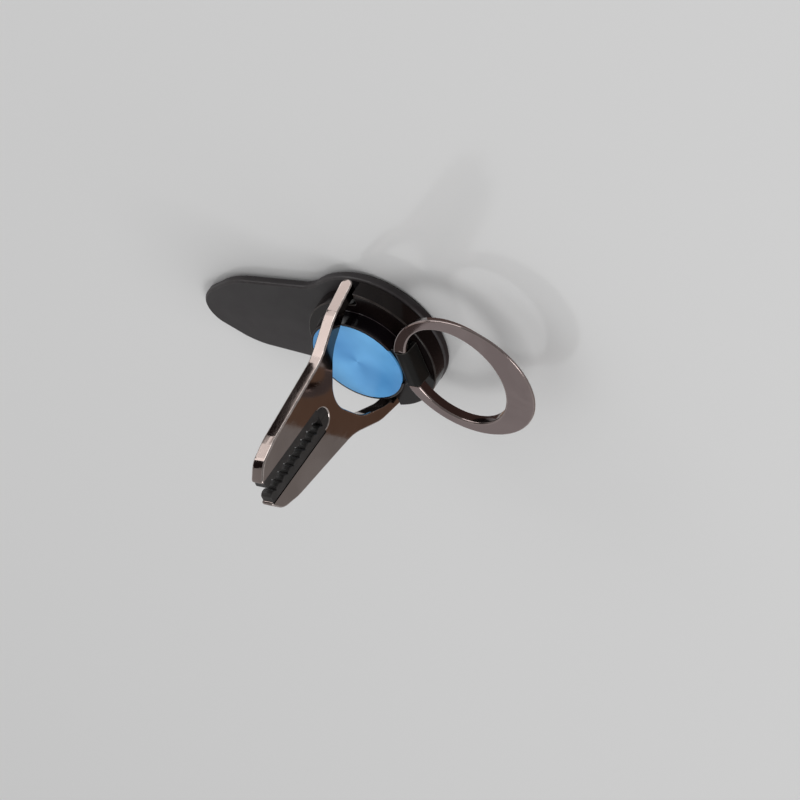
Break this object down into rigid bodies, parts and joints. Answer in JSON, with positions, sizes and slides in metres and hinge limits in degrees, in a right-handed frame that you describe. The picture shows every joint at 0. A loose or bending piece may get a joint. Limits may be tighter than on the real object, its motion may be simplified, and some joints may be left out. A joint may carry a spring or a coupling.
{
  "type": "phone ring holder",
  "caption": "Stick-on phone ring holder: winged adhesive base, swivelling hub with a hinged finger ring, and a forked air-vent clip with ribbed rubber grips.",
  "frame": {"origin": "centre of the round base, on its adhesive face", "axes": "+Z away from the phone's back, +X to the ring's hinge, the wing towards -X"},
  "size_m": [0.0849, 0.0344, 0.0487],
  "materials": {
    "grey_plate": "satin",
    "foam_tape": "matte",
    "plain_steel": "satin",
    "slip_nylon": "matte",
    "gloss_black_body": "gloss",
    "dark_nickel_cap": "mirror",
    "strap_steel": "satin",
    "blue_disc": "gloss",
    "nickel_ring": "mirror",
    "nickel_clip": "mirror",
    "grip_rubber": "matte"
  },
  "bodies": {
    "base": {"adhesive_pad": "foam_tape", "base_plate": "grey_plate", "spring_washer": "plain_steel", "slip_washer": "slip_nylon"},
    "swivel": {"pivot_rivet": "plain_steel", "turntable": "gloss_black_body", "hub_cap": "dark_nickel_cap", "hub_screws": "plain_steel", "hinge_strap": "strap_steel", "strap_screws": "plain_steel", "disc_tape": "foam_tape", "accent_disc": "blue_disc", "clip_pin_upper": "plain_steel", "clip_pin_lower": "plain_steel", "clip_washer_upper": "slip_nylon", "clip_washer_lower": "slip_nylon"},
    "ring": {"finger_ring": "nickel_ring"},
    "clip": {"clip_frame": "nickel_clip", "grip_pad_upper": "grip_rubber", "grip_pad_lower": "grip_rubber"}
  },
  "joints": [
    {"name": "hub_swivel", "type": "hinge", "parent": "base", "child": "swivel", "pos_m": [0, 0, 0], "axis": [0, 0, 1], "continuous": true},
    {"name": "ring_flip", "type": "hinge", "parent": "swivel", "child": "ring", "pos_m": [0.0121, 0, 0.00875], "axis": [0, -1, 0], "range_deg": [0, 105]},
    {"name": "clip_swing", "type": "hinge", "parent": "swivel", "child": "clip", "pos_m": [0.0003, 0, 0.0047], "axis": [0, -1, 0], "range_deg": [0, 88]}
  ]
}
